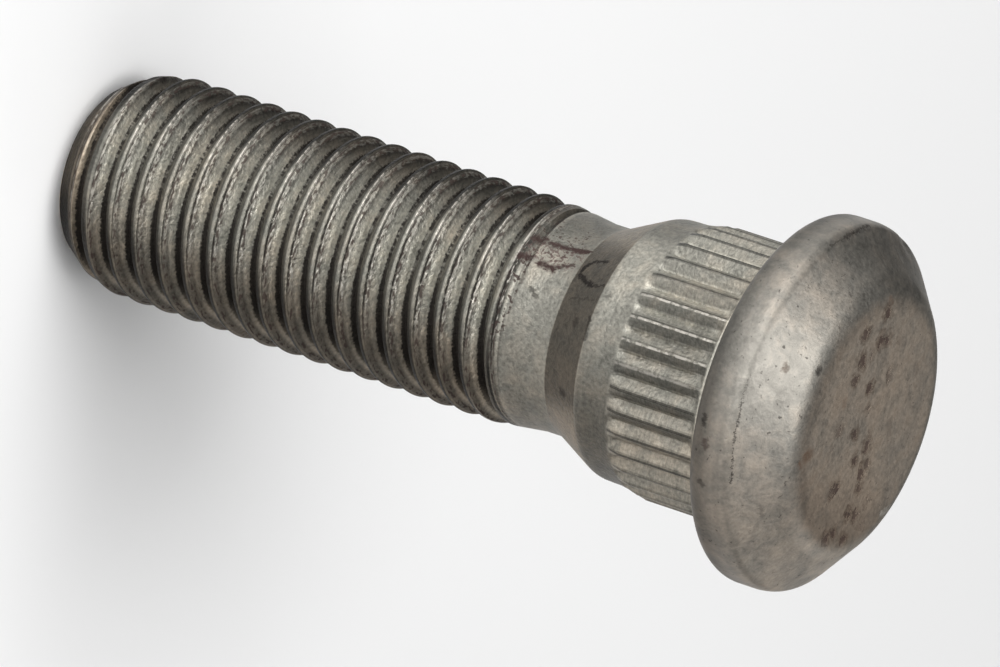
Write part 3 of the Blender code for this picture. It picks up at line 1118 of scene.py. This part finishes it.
        # Grain along the grooves; crests painted darker on the lower side and high on the upper
        # side; a painted highlight on the edge above the serrations at the front.
        for mask, amount in (
                (on_cuts, bright - wall * 0.47), (on_cuts, lip * -0.55), (on_cuts, brink * -0.6),
                (on_cuts, at.hatch * 0.6 - 0.28),
                (crest, x.between((0.2, 2.0), (6.6, 5.6)) * -0.65),
                (crest, x.band(-4.1, 0.7, 0.6) * -0.4),
                (z.band(39.6, 0.15, 0.08), abs(x).step(4.0, 2.5) * 0.9)):
            level = level.toned(mask, amount)
        return level, crest * at.chips.step(0.38, 0.55) * x.between((1.8, 0.4), (-3.7, -2.9))

    def pits(self, sheet: Sheet, at: Skin) -> tuple[Wire, Wire]:
        """Round rusty pits on the face.

        Args:
            sheet: the material's sheet.
            at: the point of the surface.

        Returns:
            Masks of the pits and of the stain about them.
        """
        cells = sheet.add("ShaderNodeTexVoronoi", {"voronoi_dimensions": "2D"},
                          {"Vector": at.place, "Scale": self.pits_per_mm}, "Distance")
        chance, _, _ = sheet.parts(Wire(sheet, cells.socket.node.outputs["Color"]))
        zone = self.near(sheet, at.place, self.pit_line) * at.on_face * chance.step(0.4, 0.55)
        spot = cells / (chance * 1.3 + 0.15) + (at.chips - 0.5) * 0.6 + (at.grain - 0.5) * 0.4
        return spot.step(0.24, 0.12) * zone, spot.step(0.55, 0.2) * zone * 0.5

    def material(self) -> bpy.types.Material:
        """Make the material from the point's place on the stud."""
        material = bpy.data.materials.new("phosphated_steel_worn_and_shaded")
        material.use_nodes = True
        sheet = Sheet(material.node_tree)
        at = Skin.read(sheet, self.zones)
        x, z, grain, mottle, chips = at.x, at.z, at.grain, at.mottle, at.chips
        level, wear = self.thread_wear(at, self.coating(at))
        level, crest = self.serration_wear_and_shade(at, level)
        # Worn metal, painted bright as glints on the lit side.
        shine = ((wear.fleck_glints * 0.75).most(wear.rubbed_and_glint).most(crest * 0.7)
                 .most(wear.last * at.hatch.step(0.54, 0.64) * 0.12).least(1.0))

        # Brown coating, with a browner tint painted as shade into the lower side, the ramp and
        # the thread's sides; worn metal with painted glints
        brown_and_shade_tint = ((at.broad - 0.5) * 0.8 + (mottle - 0.5) + at.on_face * 0.6
                     + at.on_tip * 0.9 + at.on_ramp * 0.5 + x.step(1.0, 5.0) * 0.35
                     + at.on_thread * (1 - wear.clean) * 0.3 + 0.08)
        tint = sheet.mix(brown_and_shade_tint.most(0.0).least(1.0), (*self.steel, 1.0), (*self.brown, 1.0))
        tint = sheet.mix(at.on_head, tint, (*self.rosy, 1.0), "MULTIPLY")
        colour = sheet.about("SCALE", tint, level.most(0.05) * self.tone)
        colour = sheet.mix(shine, colour, Tone.BRIGHT.value)

        # Rust, soot with painted shade in the roots, and single marks
        pits, halo = self.pits(sheet, at)
        colour = sheet.mix(halo, colour, Tone.RUST.value)
        smut = (grain * 0.5 + chips * 0.5).step(0.53, 0.6) * x.between((-1.7, -3.0), (-5.4, -4.4))
        smut = smut * z.between((26.2, 26.5), (29.8, 28.8)) * 0.75
        rust = wear.nicks.most(wear.last * chips.step(0.56, 0.64) * 0.85)
        rust = rust.most(smut).most(pits * 0.75)
        colour = sheet.mix(rust, colour, Tone.STAIN.value)
        specks = chips.step(0.66, 0.74) * z.step(40.5, 41.0) * 0.6
        # Soot in the roots, painted wider into shade toward the sides, with the fold and the
        # head's specks.
        soot_and_shade = wear.root.most(wear.fold).most(specks)
        colour = sheet.mix((soot_and_shade * 0.95).least(1.0), colour, Tone.SOOT_AND_SHADE.value)
        colour, marked = self.strokes(sheet, at, colour)

        dirt = soot_and_shade.most(marked).most(rust).least(1.0)
        relief = ((grain - 0.5) * (1 - at.on_head * 0.75) * 0.05 + (mottle - 0.5) * 0.04
                  - wear.fold * 0.04 + (at.ragged - 0.5) * wear.root * 0.06 - pits * 0.05)
        shader = material.node_tree.nodes["Principled BSDF"]
        shader.inputs["Specular IOR Level"].default_value = self.specular
        for name, wire in {
                "Base Color": colour,
                "Roughness": (grain - 0.5) * 0.2 + self.roughness + dirt * 0.25 - shine * 0.08,
                "Metallic": self.metallic - dirt * 0.2 - at.on_face * 0.1,
                "Normal": sheet.add("ShaderNodeBump", {}, {"Height": relief, "Distance": MM}),
                }.items():
            sheet.tree.links.new(wire.socket, shader.inputs[name])
        return material


@dataclass(frozen=True)
class PaleFloor:
    """Matt off-white floor."""

    colour: tuple[float, float, float, float] = (0.86, 0.86, 0.86, 1.0)
    roughness: float = 0.9
    specular: float = 0.1
    radius: float = 3.0

    def build(self) -> bpy.types.Object:
        """Make the floor under the stud.

        Returns:
            The floor.
        """
        mesh = bpy.data.meshes.new("floor")
        corners = [(-1, -1), (1, -1), (1, 1), (-1, 1)]
        mesh.from_pydata([(x * self.radius, y * self.radius, 0.0) for x, y in corners], [],
                         [(0, 1, 2, 3)])
        material = bpy.data.materials.new("pale_floor")
        material.use_nodes = True
        shader = material.node_tree.nodes["Principled BSDF"]
        shader.inputs["Base Color"].default_value = self.colour
        shader.inputs["Roughness"].default_value = self.roughness
        shader.inputs["Specular IOR Level"].default_value = self.specular
        mesh.materials.append(material)
        item = bpy.data.objects.new("floor", mesh)
        bpy.context.scene.collection.objects.link(item)
        return item


@dataclass(frozen=True)
class SoftLight:
    """A square soft light that looks at the middle of the stud."""

    name: str
    azimuth: float
    elevation: float
    power: float
    side: float = 0.3
    distance: float = 0.6

    def build(self) -> None:
        """Hang the light."""
        data = bpy.data.lights.new(self.name, "AREA")
        data.energy = self.power
        data.size = self.side
        item = bpy.data.objects.new(self.name, data)
        turn, rise = math.radians(self.azimuth), math.radians(self.elevation)
        way = Vector((math.sin(turn) * math.cos(rise), -math.cos(turn) * math.cos(rise),
                      math.sin(rise)))
        item.location = Vector(LIT_POINT) + way * self.distance
        item.rotation_euler = (-way).to_track_quat("-Z", "Y").to_euler()
        bpy.context.scene.collection.objects.link(item)


LIGHTS = (
    SoftLight("front_left_low", -30.0, 12.0, 1.95),
    SoftLight("front_left_high", -30.0, 63.0, 1.45),
    SoftLight("left_low", -60.0, 12.0, 1.2),
    SoftLight("left_high", -60.0, 63.0, 0.65),
    SoftLight("front_low", 0.0, 12.0, 0.65),
    SoftLight("front_high", 0.0, 63.0, 0.5),
    SoftLight("overhead", 0.0, 88.0, 0.72),
    SoftLight("right_high", 90.0, 63.0, 0.4),
    SoftLight("right", 60.0, 38.0, 0.19),
    SoftLight("right_low", 90.0, 12.0, 0.15),
    SoftLight("back_low", 150.0, 25.0, 0.36),
)


@dataclass(frozen=True)
class PaleRoom:
    """White surroundings that fill the shadows a little."""

    colour: tuple[float, float, float, float] = (1.0, 1.0, 1.0, 1.0)
    strength: float = 0.02

    def build(self) -> None:
        """Put them round the stage."""
        world = bpy.data.worlds.new("studio")
        world.use_nodes = True
        background = world.node_tree.nodes["Background"]
        background.inputs["Color"].default_value = self.colour
        background.inputs["Strength"].default_value = self.strength
        bpy.context.scene.world = world


@dataclass(frozen=True)
class PictureCamera:
    """Long-lens camera that sees the stud lying across the frame, as in the photograph."""

    axis_angle: float = 62.3
    roll: float = 18.36
    focal_pixels: float = 16000.0
    pixels_per_metre: float = 20110.0
    frame_width: float = 1000.0
    sensor: float = 36.0
    clip: Span = (0.05, 20.0)
    target: Place = (0.0, 0.0, 0.0242)
    target_offset: Point = (9.7, -29.5)

    def build(self) -> bpy.types.Object:
        """Set up the camera.

        Returns:
            The camera.
        """
        tilt, roll = math.radians(self.axis_angle), math.radians(self.roll)
        back = Vector((0, -math.sin(tilt), math.cos(tilt)))
        along = Vector((0, math.cos(tilt), math.sin(tilt)))
        across = Vector((1, 0, 0))
        right = math.cos(roll) * along - math.sin(roll) * across
        down = math.sin(roll) * along + math.cos(roll) * across
        shift_right, shift_down = (value / self.pixels_per_metre for value in self.target_offset)
        centre = Vector(self.target) - right * shift_right - down * shift_down
        data = bpy.data.cameras.new("picture_camera")
        data.sensor_width = self.sensor
        data.lens = self.focal_pixels / self.frame_width * self.sensor
        data.clip_start, data.clip_end = self.clip
        item = bpy.data.objects.new("picture_camera", data)
        turn = Matrix((right, -down, back)).transposed().to_4x4()
        item.matrix_world = Matrix.Translation(
            centre + back * (self.focal_pixels / self.pixels_per_metre)) @ turn
        bpy.context.scene.collection.objects.link(item)
        bpy.context.scene.camera = item
        return item


def main() -> None:
    """Build the stud and its set, and report each piece."""
    logging.basicConfig(level=logging.INFO, format="%(name)s: %(message)s")
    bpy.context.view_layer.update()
    stud = WheelStud().build(PhosphatedSteel().material())
    LOG.info("%s: %d faces", stud.name, len(stud.data.polygons))
    PaleFloor().build()
    PaleRoom().build()
    for light in LIGHTS:
        light.build()
    LOG.info("floor, surroundings and %d lights", len(LIGHTS))
    bpy.context.scene.view_settings.view_transform = "Standard"
    PictureCamera().build()


if __name__ == "__main__":
    main()
